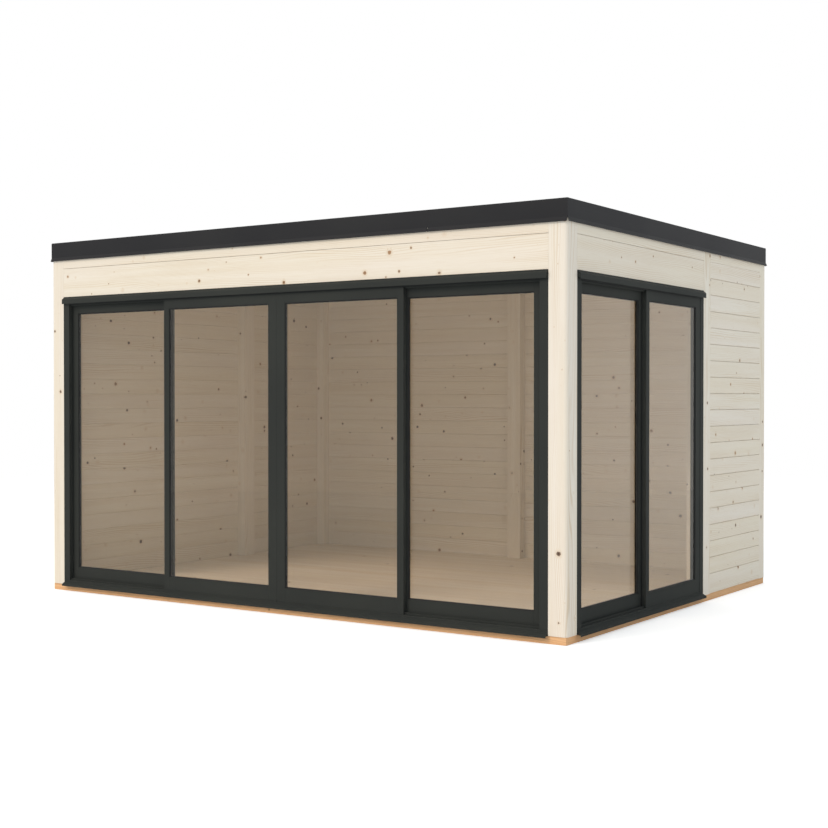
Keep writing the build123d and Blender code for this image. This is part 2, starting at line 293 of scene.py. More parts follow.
# Window glass: a faint bronze see-through sheet with a mirror gloss that grows at a slant
def glassFinish(name, look):
    shader = Shader(bpy.data.materials.new(name))
    clear = shader.node("ShaderNodeBsdfTransparent", {}, {"Color": look["tint"]})
    gloss = shader.node("ShaderNodeBsdfGlossy", {}, {"Color": look["gloss"], "Roughness": 0.0})
    slant = shader.node("ShaderNodeLayerWeight", {}, {"Blend": 0.5}, output=1)
    mirror = slant.power(look["mirrorPower"]) * (1 - look["straightMirror"]) + look["straightMirror"]
    shown = shader.node("ShaderNodeMixShader", {}, {0: mirror, 1: clear, 2: gloss})
    return shader.finish(shown)


glassLook = {
    "tint": tone(252, 249, 245), "gloss": tone(255, 252, 246), "straightMirror": 0.043, "mirrorPower": 5,
}
glass = glassFinish("bronzeGlass", glassLook)
print("materials made")

rng = random.Random(11)  # the one source of random numbers, so every run is alike
past = 1  # how far a cut runs past what it cuts
sliver = 0.001  # a board narrower than this is left out
seedRange = 40  # how far apart, in metres of grain, two timbers may lie
creaseAngle = math.radians(30)  # a sharper edge than this is rounded, or shaded sharp
flatAngle = math.radians(1)  # faces within this of each other become one


# A mesh under construction, with the layers that carry the grain
class Shape:
    def __init__(self):
        self.bm = bmesh.new()
        self.grain = self.bm.verts.layers.float_vector.new("grainPlace")
        self.tint = self.bm.verts.layers.float.new("boardTone")

    # Runs an outline of (across, through) points from start to end. place turns (along, across, through)
    # into a point. start and end may each be a function of (across, through), for a mitre. order says
    # which of the three the grain runs along, where that isn't the first.
    def run(self, outline, place, start, end, order=(0, 1, 2)):
        seed = [rng.uniform(0, seedRange) for axis in range(3)]
        tint = rng.random()
        rings = []
        for limit in (start, end):
            ring = []
            for across, through in outline:
                along = limit(across, through) if callable(limit) else limit
                vert = self.bm.verts.new(place(along, across, through))
                spot = (along, across, through)
                vert[self.grain] = Vector([spot[order[axis]] + seed[axis] for axis in range(3)])
                vert[self.tint] = tint
                ring.append(vert)
            rings.append(ring)
        first, second = rings
        count = len(outline)
        faces = [self.bm.faces.new(first), self.bm.faces.new(second[::-1])]
        for index in range(count):
            after = (index + 1) % count
            faces.append(self.bm.faces.new((first[index], second[index], second[after], first[after])))
        bmesh.ops.recalc_face_normals(self.bm, faces=faces)

    def piece(self, name, body, slot, material, replaced=(), bevel=0.0, segments=2):
        mesh = bpy.data.meshes.new(name)
        self.bm.to_mesh(mesh)
        self.bm.free()
        made = bpy.data.objects.new(name, mesh)
        bpy.context.scene.collection.objects.link(made)
        mesh.materials.append(material)
        mesh.polygons.foreach_set("use_smooth", [True] * len(mesh.polygons))
        if bevel:
            rounding = made.modifiers.new("arris", "BEVEL")
            rounding.width = bevel
            rounding.segments = segments
            rounding.limit_method = "ANGLE"
            rounding.angle_limit = creaseAngle
            rounding.harden_normals = True
        else:
            mesh.set_sharp_from_angle(angle=creaseAngle)
        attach(made, body)
        if replaced:
            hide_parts(*replaced)


def rectangle(across0, across1, through0, through1):
    return [(across0, through0), (across1, through0), (across1, through1), (across0, through1)]


# How (along, across, through) lies in space: along X, along Y or upright
def alongX(along, across, through):
    return along, across, through


def alongY(along, across, through):
    return through, along, across


def upright(along, across, through):
    return across, through, along


# A solid of square blocks: everything in the boxes of filled and not in those of cut. Each box is
# (low, high) along the unit, in from its face and up
def blockShape(filled, cut=()):
    boxes = list(filled) + list(cut)
    levels = [sorted({value for box in boxes for value in box[axis]}) for axis in range(3)]

    def holds(box, point):
        return all(low < value < high for (low, high), value in zip(box, point))

    solid = set()
    spans = [list(zip(row, row[1:])) for row in levels]
    for i, spanX in enumerate(spans[0]):
        for j, spanY in enumerate(spans[1]):
            for k, spanZ in enumerate(spans[2]):
                point = [(span[0] + span[1]) / 2 for span in (spanX, spanY, spanZ)]
                if any(holds(box, point) for box in filled) and not any(holds(box, point) for box in cut):
                    solid.add((i, j, k))
    corners, faces = {}, []
    for cell in solid:
        for axis in range(3):
            for step in (0, 1):
                neighbour = list(cell)
                neighbour[axis] += 2 * step - 1
                if tuple(neighbour) in solid:
                    continue
                second, third = (axis + 1) % 3, (axis + 2) % 3
                ring = []
                for a, b in ((0, 0), (1, 0), (1, 1), (0, 1)):
                    key = list(cell)
                    key[axis] += step
                    key[second] += a
                    key[third] += b
                    ring.append(corners.setdefault(tuple(key), len(corners)))
                faces.append(ring if step else ring[::-1])
    points = [[levels[axis][key[axis]] for axis in range(3)] for key in corners]
    return points, faces


# A mesh of metal, rubber or glass parts
class MetalShape(Shape):
    def add(self, points, faces, place):
        verts = [self.bm.verts.new(place(*point)) for point in points]
        made = [self.bm.faces.new([verts[index] for index in face]) for face in faces]
        # A dict and not a set, which would order them by memory address and give other meshes each run
        edges = list(dict.fromkeys(edge for face in made for edge in face.edges))
        bmesh.ops.recalc_face_normals(self.bm, faces=made)
        bmesh.ops.dissolve_limit(
            self.bm, angle_limit=flatAngle, verts=verts, edges=edges, use_dissolve_boundaries=False
        )

    def blocks(self, place, filled, cut=()):
        self.add(*blockShape(filled, cut), place)


# Main sizes of the house, in metres
house = {
    "halfLength": 2.087,
    "halfDepth": 1.5895,
    "top": 2.5,
    "post": 0.12,
    "arris": 0.025,
    "boardTop": 2.31,
    "headerBottom": 2.105,
    "edgeBoard": 0.044,
    "postTop": 2.498,
    "deckBottom": 2.43,
    "deckTop": 2.448,
    "baseTop": 0.046,
    "sidePostFront": 0.3905,
}
halfLength, halfDepth, post = house["halfLength"], house["halfDepth"], house["post"]
sidePostBack = house["sidePostFront"] + post
# From post to post along the back and along a side
backSpans = ((-halfLength + post, -post / 2), (post / 2, halfLength - post))
sideSpans = ((-halfDepth + post, house["sidePostFront"]), (sidePostBack, halfDepth - post))

# Camera, at the photograph's viewing angle
viewLook = {
    "lens": 60.335, "sensor": 36, "place": (5.67263, -8.47861, 1.38552), "tilt": 0.6692, "turn": 33.7979,
}
cameraData = bpy.data.cameras.new("viewpoint")
cameraData.lens = viewLook["lens"]
cameraData.sensor_width = viewLook["sensor"]
camera = bpy.data.objects.new("viewpoint", cameraData)
camera.location = viewLook["place"]
camera.rotation_euler = (math.radians(90 - viewLook["tilt"]), 0, math.radians(viewLook["turn"]))
bpy.context.scene.collection.objects.link(camera)
bpy.context.scene.camera = camera

# Posts: three mid posts and four corner posts, rebated at the top for the roof deck
posts = {
    "corner_post_front_left": (-1, -1), "corner_post_front_right": (1, -1),
    "corner_post_back_left": (-1, 1), "corner_post_back_right": (1, 1),
    "side_door_post": (1, 0), "left_wall_post": (-1, 0), "back_wall_post": (0, 1),
}
postLook = {"arrisSteps": 8, "bevel": 0.001}


def postOutline(sideX, sideY, x0, x1, y0, y1):
    if not (sideX and sideY):
        return rectangle(x0, x1, y0, y1)
    radius = house["arris"]
    outerX, outerY = (x1 if sideX > 0 else x0), (y1 if sideY > 0 else y0)
    innerX, innerY = (x0 if sideX > 0 else x1), (y0 if sideY > 0 else y1)
    centreX, centreY = outerX - sideX * radius, outerY - sideY * radius
    outline = [(innerX, innerY), (outerX, innerY)]
    for step in range(postLook["arrisSteps"] + 1):
        turn = math.pi / 2 * step / postLook["arrisSteps"]
        x = centreX + sideX * radius * math.cos(turn)
        outline.append((x, centreY + sideY * radius * math.sin(turn)))
    return outline + [(innerX, outerY)]


# Where a post stands: low and high along X, then along Y
def postPlan(sideX, sideY):
    spanX, spanY = (-post / 2, post / 2), (house["sidePostFront"], sidePostBack)
    if sideX:
        spanX = sorted((sideX * halfLength, sideX * (halfLength - post)))
    if sideY:
        spanY = sorted((sideY * halfDepth, sideY * (halfDepth - post)))
    return (*spanX, *spanY)


for name, (sideX, sideY) in posts.items():
    x0, x1, y0, y1 = postPlan(sideX, sideY)
    shape = Shape()
    shape.run(postOutline(sideX, sideY, x0, x1, y0, y1), upright, house["baseTop"], house["deckBottom"])
    depth = house["edgeBoard"]
    if sideX:
        strip = sorted((sideX * halfLength, sideX * (halfLength - depth)))
        across = [y0 + depth if sideY < 0 else y0, y1 - depth if sideY > 0 else y1]
        shape.run(rectangle(*strip, *across), upright, house["deckBottom"], house["postTop"])
    if sideY:
        strip = sorted((sideY * halfDepth, sideY * (halfDepth - depth)))
        upper = postOutline(sideX, sideY, x0, x1, *strip)
        shape.run(upper, upright, house["deckBottom"], house["postTop"])
    shape.piece(name + "_timber", "building", "spruce_wood", spruce, [name], postLook["bevel"])
print("posts made")

# Wall boards, tongued and grooved, with a V groove at each joint
wallLook = {
    "thickness": 0.044, "pitch": 0.112, "chamfer": 0.0032, "joint": 0.0016, "innerJoint": 0.0003,
    "tongueWidth": 0.012, "tongueHeight": 0.009, "tongueGap": 0.0006, "bevel": 0.0004,
}


def boardOutline(bottom, top, hasTongue, hasSlot, look):
    thick, chamfer = look["thickness"], look["chamfer"]
    near = (thick - look["tongueWidth"]) / 2
    far = thick - near
    gap = look["tongueGap"]
    low, innerLow = bottom + look["joint"], bottom + look["innerJoint"]
    outline = [(low, chamfer), (low + chamfer, 0)]
    outline += [(top - chamfer, 0), (top, chamfer)] if hasTongue else [(top, 0)]
    if hasTongue:
        height = top + look["tongueHeight"] - gap
        outline += [(top, near), (height, near), (height, far), (top, far)]
    outline += [(top, thick - chamfer), (top - chamfer, thick)] if hasTongue else [(top, thick)]
    outline += [(innerLow + chamfer, thick), (innerLow, thick - chamfer)]
    if hasSlot:
        height = bottom + look["tongueHeight"]
        outline += [(innerLow, far + gap), (height, far + gap), (height, near - gap), (low, near - gap)]
    return outline


# place turns (along, height, depth in from the outer face) into a point
def wallPanel(name, place, start, end):
    shape = Shape()
    top = house["boardTop"]
    highest = top
    while top > house["baseTop"]:
        bottom = top - wallLook["pitch"]
        if bottom - wallLook["pitch"] / 4 < house["baseTop"]:  # too narrow a last board joins this one
            bottom = house["baseTop"]
        hasSlot = bottom > house["baseTop"]
        shape.run(boardOutline(bottom, top, top < highest, hasSlot, wallLook), place, start, end)
        top = bottom
    shape.piece(name + "_boards", "building", "spruce_wood", spruce, [name], wallLook["bevel"], 1)


def fromLeft(along, height, depth):
    return -halfLength + depth, along, height


def fromRight(along, height, depth):
    return halfLength - depth, along, height


def fromFront(along, height, depth):
    return along, -halfDepth + depth, height


def fromBack(along, height, depth):
    return along, halfDepth - depth, height


wallPanel("left_wall_front", fromLeft, *sideSpans[0])
wallPanel("left_wall_rear", fromLeft, *sideSpans[1])
wallPanel("right_wall_rear", fromRight, *sideSpans[1])
wallPanel("back_wall_left", fromBack, *backSpans[0])
wallPanel("back_wall_right", fromBack, *backSpans[1])
print("walls made")

# Headers over the doors, roof edge boards and wall plates
timberLook = {"bevel": 0.002, "plateHeight": 0.06, "joint": 0.0009}


def timbers(name, runs, slot="spruce_wood", material=spruce, bevel=timberLook["bevel"]):
    shape = Shape()
    for place, start, end, outline in runs:
        shape.run(outline, place, start, end)
    shape.piece(name + "_timber", "building", slot, material, [name], bevel)


headerOutline = rectangle(house["headerBottom"], house["boardTop"] - timberLook["joint"], 0, post)
timbers("front_header", [(fromFront, -halfLength + post, halfLength - post, headerOutline)])
timbers("side_header", [(fromRight, *sideSpans[0], headerOutline)])
edgeOutline = rectangle(house["boardTop"] + timberLook["joint"], house["postTop"], 0, house["edgeBoard"])
edgeRuns = [(fromFront, -halfLength + post, halfLength - post, edgeOutline)]
for span in backSpans:
    edgeRuns.append((fromBack, *span, edgeOutline))
for span in sideSpans:
    edgeRuns.append((fromLeft, *span, edgeOutline))
    edgeRuns.append((fromRight, *span, edgeOutline))
timbers("roof_edge_boards", edgeRuns)
plateBottom = house["boardTop"] - timberLook["plateHeight"]
plateOutline = rectangle(plateBottom, house["boardTop"], house["edgeBoard"], post)
timbers("wall_plates", [(fromBack, *span, plateOutline) for span in backSpans])

# Rafters and the tongued roof boards that show from inside
roofLook = {"rafterWidth": 0.045, "rafterCount": 7, "deckPitch": 0.096, "deckChamfer": 0.003}
firstRafter = -halfLength + post
rafterStep = (-2 * firstRafter - roofLook["rafterWidth"]) / (roofLook["rafterCount"] - 1)
rafterRuns = []
for index in range(roofLook["rafterCount"]):
    x = firstRafter + rafterStep * index
    meetsPost = x < post / 2 and x + roofLook["rafterWidth"] > -post / 2
    end = halfDepth - post if meetsPost else halfDepth - house["edgeBoard"]
    outline = rectangle(house["boardTop"], house["deckBottom"], x, x + roofLook["rafterWidth"])
    rafterRuns.append((alongY, -halfDepth + house["edgeBoard"], end, outline))
timbers("rafters", rafterRuns)
deckShape = Shape()
deckX = halfLength - house["edgeBoard"]
y = -halfDepth + house["edgeBoard"]
deckBack = halfDepth - house["edgeBoard"]
while y < deckBack - sliver:
    y1 = min(y + roofLook["deckPitch"], deckBack)
    chamfer = roofLook["deckChamfer"]
    low, high = house["deckBottom"], house["deckTop"]
    outline = [(y, low + chamfer), (y + chamfer, low), (y1 - chamfer, low), (y1, low + chamfer)]
    deckShape.run(outline + [(y1, high), (y, high)], alongX, -deckX, deckX)
    y = y1
deckShape.piece("roof_deck_boards", "building", "spruce_wood", spruce, ["roof_deck"])
print("roof timbers made")


# A square mitre at one end, side -1 or 1, of a run that reaches half each way
def mitre(half, side):
    return lambda across, through: side * (half - through)


# Base beams, mitred at the corners, and the joists under the floor
baseLook = {"inset": 0.007, "width": 0.1, "bevel": 0.003, "joistWidth": 0.07, "joistCount": 5}
baseOutline = rectangle(0, house["baseTop"], baseLook["inset"], baseLook["inset"] + baseLook["width"])
for side, place, half in (
    ("front", fromFront, halfLength), ("back", fromBack, halfLength),
    ("left", fromLeft, halfDepth), ("right", fromRight, halfDepth),
):
    runs = [(place, mitre(half, -1), mitre(half, 1), baseOutline)]
    timbers("base_beam_" + side, runs, "impregnated_wood", impregnated, baseLook["bevel"])
innerX = halfLength - baseLook["inset"] - baseLook["width"]
innerY = halfDepth - baseLook["inset"] - baseLook["width"]
joistRuns = []
for index in range(baseLook["joistCount"]):
    y = -innerY + 2 * innerY / (baseLook["joistCount"] + 1) * (index + 1)
    outline = rectangle(y - baseLook["joistWidth"] / 2, y + baseLook["joistWidth"] / 2, 0, house["baseTop"])
    joistRuns.append((alongX, -innerX, innerX, outline))
timbers("floor_joists", joistRuns, "impregnated_wood", impregnated, baseLook["bevel"])

# Floor boards, notched round the posts
floorLook = {
    "pitch": 0.121, "thickness": 0.019, "gap": 0.005, "joint": 0.0004, "bevel": 0.0018,
    "leastTongue": 0.002, "touch": 0.00001,
}
frameDepth = 0.07
floorX0 = -halfLength + wallLook["thickness"] + floorLook["gap"]
floorX1 = halfLength - wallLook["thickness"] - floorLook["gap"]
floorY0 = -halfDepth + frameDepth + floorLook["gap"]
floorY1 = halfDepth - wallLook["thickness"] - floorLook["gap"]
margin = floorLook["gap"]
blocked = [(halfLength - frameDepth - margin, halfLength + past, -halfDepth - past, sidePostBack + margin)]
for sideX, sideY in posts.values():
    x0, x1, y0, y1 = postPlan(sideX, sideY)
    blocked.append((x0 - margin, x1 + margin, y0 - margin, y1 + margin))


# The plan outline of a board between y0 and y1, less what the posts take
def notchedBoard(x0, x1, y0, y1):
    cuts = {x0, x1}
    for bx0, bx1, by0, by1 in blocked:
        if by1 > y0 and by0 < y1:
            cuts |= {x for x in (bx0, bx1) if x0 < x < x1}
    cuts = sorted(cuts)
    front, back = [], []
    for left, right in zip(cuts, cuts[1:]):
        middle = (left + right) / 2
        low, high = y0, y1
        for bx0, bx1, by0, by1 in blocked:
            if not (bx0 < middle < bx1 and by1 > y0 and by0 < y1):
                continue
            if by0 <= y0 + floorLook["touch"]:
                low = max(low, by1)
            elif by1 >= y1 - floorLook["touch"]:
                high = min(high, by0)
        if high - low > floorLook["leastTongue"]:
            front += [(left, low), (right, low)]
            back += [(left, high), (right, high)]
    outline = []
    for point in front + back[::-1]:
        if not outline or point != outline[-1]:
            outline.append(point)
    return outline


floorShape = Shape()
y1 = floorY1
while y1 > floorY0 + sliver:
    y0 = y1 - floorLook["pitch"]
    if y0 - floorLook["pitch"] / 4 < floorY0:
        y0 = floorY0
    outline = notchedBoard(floorX0, floorX1, y0 + floorLook["joint"], y1)
    floorShape.run(outline, upright, house["baseTop"], house["baseTop"] + floorLook["thickness"], (1, 2, 0))
    y1 = y0
floorShape.piece(
    "floor_boards_planks", "building", "floor_wood", floorWood, ["floor_boards"], floorLook["bevel"]
)
print("base and floor made")

# Door units. Sizes run along the unit (u), in from the wall face (d) and up (z)
door = {
    "frontStart": -1.965, "frontWidth": 3.93, "sideStart": -1.4675, "sideWidth": 1.856,
    "depth": frameDepth, "jamb": 0.054, "web": 0.033, "flange": 0.005, "gap": 0.005, "channelGap": 0.002,
    "capHeight": 0.048, "capReach": 0.019, "capFall": 0.014, "capRound": 0.006, "capWall": 0.003,
    "capSoffit": 0.009, "capDrip": 0.004,
    "noseDrop": 0.72, "noseFirst": 180, "noseLast": 112, "noseSteps": 6,
    "headBottom": 2.075, "headTop": 2.105, "sillTop": 0.08, "sashBottom": 0.086, "sashTop": 2.052,
    "lipReach": 0.026, "lipBottom": 0.036, "lipFace": 0.012, "lipSlope": 0.014,
    "lipWall": 0.003, "lipInset": 0.004,
    "outer": 0.002, "inner": 0.036, "sash": 0.028, "guide": 0.004, "guideBite": 0.01,
    "track": 0.006, "trackHead": 0.0937, "trackNeck": 0.6, "trackUnder": 0.004, "trackShoulder": 0.0035,
    "trackSteps": 8, "bevel": 0.0009,
    "brush": (0.001, 0.004), "brushGap": 0.0005, "brushInset": 0.001, "brushWidth": 0.004,
    "brushRoot": 0.001,
    "seal": 0.002, "sealDepth": (0.001, 0.02), "sealLap": 0.0005, "sealHeight": (0.0015, 0.0025),
}
sashLook = {
    "stile": 0.07, "closing": 0.066, "interlock": 0.047, "bottomRail": 0.084, "topRail": 0.063,
    "overlap": 0.04, "sideOverlap": 0.014, "sideShift": 0.022, "joint": 0.0003,
    "glassSlot": 0.0126, "glassBite": 0.012, "guideSlot": 0.01, "guideSlotHeight": 0.015,
    "trackSlot": 0.012, "trackSlotHeight": 0.008, "pane": 0.012, "gasket": 0.006, "gasketLift": 0.0035,
    "gasketRoot": 0.0015, "gasketSeam": 0.0002, "gasketShoulder": (0.8, 0.45), "gasketCrest": 0.35,
    "gasketToe": 0.1, "spacerWidth": 0.0195, "spacerDepth": 0.006, "spacerBack": 0.007,
    "spacerRound": 0.0012, "spacerFlat": 0.6, "spacerBevel": 0.0008,
    "stripReach": 0.0045, "stripDepth": (0.0002, 0.0065), "bevel": 0.0012,
}
frontWidth, sideWidth = door["frontWidth"], door["sideWidth"]


def frontUnit(u, d, z):
    return u + door["frontStart"], d - halfDepth, z


def sideUnit(u, d, z):
    return halfLength - d, u + door["sideStart"], z


def arc(centreU, centreV, radius, first, last, steps):
    points = []
    for step in range(steps + 1):
        turn = math.radians(first + (last - first) * step / steps)
        points.append((centreU + radius * math.cos(turn), centreV + radius * math.sin(turn)))
    return points


def metal(name, shape, body, replaced=(), bevel=door["bevel"], slot="dark_aluminium", material=aluminium):
    shape.piece(name, body, slot, material, replaced, bevel)


def doorFrame(prefix, unit, width):
    head = MetalShape()
    top, bottom, capBottom = door["headTop"], door["headBottom"], door["headTop"] - door["capHeight"]
    reach, rounding = door["capReach"], door["capRound"]
    noseZ = top - door["capFall"] - rounding * door["noseDrop"]
    nose = arc(-reach + rounding, noseZ, rounding, door["noseFirst"], door["noseLast"], door["noseSteps"])
    soffit, wall = capBottom + door["capSoffit"], -reach + door["capWall"]
    profile = [(-reach, capBottom + door["capDrip"]), *nose, (0, top), (door["depth"], top),
               (door["depth"], bottom), (0, bottom), (0, soffit), (wall, soffit), (wall, capBottom),
               (-reach, capBottom)]
    head.run(profile, unit, 0, width)
    inner = (door["depth"] - door["flange"], door["depth"])
    between, channelled = (door["jamb"], width - door["jamb"]), (door["web"], width - door["web"])
    middles = [door[track] + door["sash"] / 2 for track in ("outer", "inner")]
    tracks = list(zip(middles, (between, channelled)))
    for depth in ((0, door["flange"]), inner):
        head.blocks(unit, [(between, depth, (capBottom, bottom))])
    half = door["guide"] / 2
    fin = (door["sashTop"] - door["guideBite"], bottom)
    for middle, span in tracks:
        head.blocks(unit, [(span, (middle - half, middle + half), fin)])
    metal(prefix + "_head_profile", head, "building", [prefix + "_head"])

    sill = MetalShape()
    lip, face = door["lipBottom"], door["lipBottom"] + door["lipFace"]
    reach, level = door["lipReach"], door["sillTop"]
    wall = -reach + door["lipWall"]
    profile = [(0, level), (0, face + door["lipSlope"]), (-reach, face), (-reach, lip), (wall, lip),
               (wall, face - door["lipInset"]), (0, house["baseTop"]), (door["depth"], house["baseTop"]),
               (door["depth"], level)]
    sill.run(profile, unit, 0, width)
    sill.blocks(unit, [(between, inner, (level, door["sashBottom"]))])
    half, crown = door["track"] / 2, door["trackHead"]
    under, shoulder = crown - door["trackUnder"], crown - door["trackShoulder"]
    for middle, span in tracks:
        neck = middle - half * door["trackNeck"], middle + half * door["trackNeck"]
        rail = [(neck[0], level), (neck[0], under), (middle - half, shoulder)]
        rail += arc(middle, crown - half, half, 180, 0, door["trackSteps"])[1:-1]
        rail += [(middle + half, shoulder), (neck[1], under), (neck[1], level)]
        sill.run(rail, unit, *span)
    metal(prefix + "_sill_profile", sill, "building", [prefix + "_sill"])

    jambs = MetalShape()
    channelDepth = (door["inner"] - door["channelGap"], inner[0])
    for first, last, channel in (
        (0, door["jamb"], (door["web"], door["jamb"] + past)),
        (width - door["jamb"], width, (width - door["jamb"] - past, width - door["web"])),
    ):
        jambs.blocks(
            unit,
            [((first, last), (0, door["depth"]), (level, bottom))],
            [(channel, channelDepth, (level - past, bottom + past))],
        )
    metal(prefix + "_jamb_profiles", jambs, "building", [prefix + "_jambs"])

    # Brush under the cap, which closes the slot above the outer sashes
    brush = MetalShape()
    brushHeight = (door["sashTop"] + door["brushGap"], capBottom + door["brushRoot"])
    brush.blocks(unit, [(between, door["brush"], brushHeight)])
    metal(prefix + "_brush_strip", brush, "building", (), 0, "roof_membrane", rubber)

    # Black rubber seals beside the frame and along the top of the cap. The strips beside the frame fill the
    # gap to the posts, and their black is partly painted shade, standing in for the shadow in that gap
    sealsAndPaintedShade = MetalShape()
    for span in ((-door["seal"], 0), (width, width + door["seal"])):
        sealsAndPaintedShade.blocks(unit, [(span, door["sealDepth"], (level, bottom))])
    below, above = door["sealHeight"]
    sealsAndPaintedShade.blocks(unit, [((0, width), (-door["seal"], door["sealLap"]), (top - below, top + above))])
    metal(prefix + "_frame_seals_and_painted_shade", sealsAndPaintedShade, "building", (), 0, "roof_membrane", rubber)


# Sashes from u0 to u1 with their stile widths: stiles, rails, gaskets and spacer bars. strips and
# brushes are narrow boxes on them, of metal and of brush, that close a gap to what is next to them
def sash(prefix, unit, body, frames, replaced, strips=(), brushes=()):
    look = sashLook
    members, gaskets, spacers = MetalShape(), MetalShape(), MetalShape()
    for u0, u1, recess, left, right in frames:
        back, middle = recess + door["sash"], recess + door["sash"] / 2
        bottom, top = door["sashBottom"], door["sashTop"]
        openU, openZ = (u0 + left, u1 - right), (bottom + look["bottomRail"], top - look["topRail"])
        bite, slot = look["glassBite"], look["glassSlot"] / 2
        guide, track, whole = look["guideSlot"] / 2, look["trackSlot"] / 2, (u0 - past, u1 + past)
        cuts = [
            ((openU[0] - bite, openU[1] + bite), (middle - slot, middle + slot),
             (openZ[0] - bite, openZ[1] + bite)),
            (whole, (middle - guide, middle + guide), (top - look["guideSlotHeight"], top + past)),
            (whole, (middle - track, middle + track), (bottom - past, bottom + look["trackSlotHeight"])),
        ]
        depth, joint = (recess, back), look["joint"]
        members.blocks(unit, [((u0, openU[0]), depth, (bottom, top))], cuts)
        members.blocks(unit, [((openU[1], u1), depth, (bottom, top))], cuts)
        railSpan = (openU[0] + joint, openU[1] - joint)
        members.blocks(unit, [(railSpan, depth, (bottom, openZ[0]))], cuts)
        members.blocks(unit, [(railSpan, depth, (openZ[1], top))], cuts)
        glazing(gaskets, unit, openU, openZ, middle)
        spacerRing(spacers, unit, openU, openZ, middle)
    for shape, boxes in ((members, strips), (gaskets, brushes)):
        for box in boxes:
            shape.blocks(unit, [box])
    metal(prefix + "_members", members, body, replaced, look["bevel"])
    metal(prefix + "_gaskets", gaskets, body, (), 0, "roof_membrane", rubber)
    metal(prefix + "_spacer_bars", spacers, body, (), look["spacerBevel"], "dark_aluminium", spacerMetal)


# A mitred ring of four strips round an opening; profile holds (distance in from the opening, depth)
def ring(shape, unit, openU, openZ, profile):
    (left, right), (low, high) = openU, openZ
    corners = [(left, low, 1, 1), (right, low, -1, 1), (right, high, -1, -1), (left, high, 1, -1)]
    rows = []
    for u, z, turnU, turnZ in corners:
        rows.append([unit(u + turnU * inward, depth, z + turnZ * inward) for inward, depth in profile])
    verts = [[shape.bm.verts.new(point) for point in row] for row in rows]
    made = []
    for index in range(4):
        first, second = verts[index], verts[(index + 1) % 4]
        for step in range(len(profile)):
            after = (step + 1) % len(profile)
            made.append(shape.bm.faces.new((first[step], second[step], second[after], first[after])))
    bmesh.ops.recalc_face_normals(shape.bm, faces=made)


def glazing(shape, unit, openU, openZ, middle):
    half, lift, width = sashLook["pane"] / 2, sashLook["gasketLift"], sashLook["gasket"]
    root, seam, crest = -sashLook["gasketRoot"], sashLook["gasketSeam"], sashLook["gasketCrest"]
    (shoulder, shoulderLift), toe = sashLook["gasketShoulder"], sashLook["gasketToe"]
    for side in (-1, 1):
        glassFace = middle + side * half
        profile = [(root, glassFace), (width, glassFace),
                   (width * shoulder, glassFace + side * lift * shoulderLift),
                   (width * crest, glassFace + side * lift), (seam, glassFace + side * lift),
                   (root, glassFace + side * lift * toe)]
        ring(shape, unit, openU, openZ, profile)


def spacerRing(shape, unit, openU, openZ, middle):
    inward = sashLook["spacerWidth"] - sashLook["glassBite"]
    back, corner = inward - sashLook["spacerBack"], inward - sashLook["spacerRound"]
    half, flat = sashLook["spacerDepth"] / 2, sashLook["spacerFlat"]
    profile = [(back, middle - half), (corner, middle - half), (inward, middle - half * flat),
               (inward, middle + half * flat), (corner, middle + half), (back, middle + half)]
    ring(shape, unit, openU, openZ, profile)


doorFrame("front_door", frontUnit, frontWidth)
doorFrame("side_door", sideUnit, sideWidth)
stile, interlock, closing = sashLook["stile"], sashLook["interlock"], sashLook["closing"]
sashStart, frontMiddle = door["web"] + door["gap"], frontWidth / 2
frontInterlock, halfLap = (sashStart + frontMiddle) / 2, sashLook["overlap"] / 2
sideInterlock = sideWidth / 2 + sashLook["sideShift"]
fixedLeft = (sashStart, frontInterlock + halfLap, door["inner"], stile, interlock)
slideLeft = (frontInterlock - halfLap, frontMiddle - door["gap"] / 2, door["outer"], interlock, closing)
sideFixed = (sashStart, sideInterlock, door["inner"], stile, interlock)
sideEnd = sideWidth - door["jamb"] - door["gap"]
sideSlide = (sideInterlock - sashLook["sideOverlap"], sideEnd, door["outer"], interlock, stile)


# The same sash in the other half of the front
def mirrored(sashFrame):
    u0, u1, recess, left, right = sashFrame
    return frontWidth - u1, frontWidth - u0, recess, right, left


# A strip beside a sliding sash, flush with its face
def sideStrip(sashFrame):
    end, recess = sashFrame[1], sashFrame[2]
    depth = tuple(recess + value for value in sashLook["stripDepth"])
    return (end, end + sashLook["stripReach"]), depth, (door["sashBottom"], door["sashTop"])


# A strip below a sash, down to the sill or close to it
def footStrip(sashFrame, gap=0):
    u0, u1, recess = sashFrame[:3]
    depth = tuple(recess + value for value in sashLook["stripDepth"])
    return (u0, u1), depth, (door["sillTop"] + gap, door["sashBottom"])


# A brush on the back of a sliding sash, by the edge that laps the sash behind it
def interlockBrush(sashFrame, lapsAtStart):
    u0, u1, recess = sashFrame[:3]
    edge = u0 + door["brushInset"] if lapsAtStart else u1 - door["brushInset"] - door["brushWidth"]
    depth = (recess + door["sash"] - door["brushGap"], door["inner"] - door["brushGap"])
    return (edge, edge + door["brushWidth"]), depth, (door["sashBottom"], door["sashTop"])


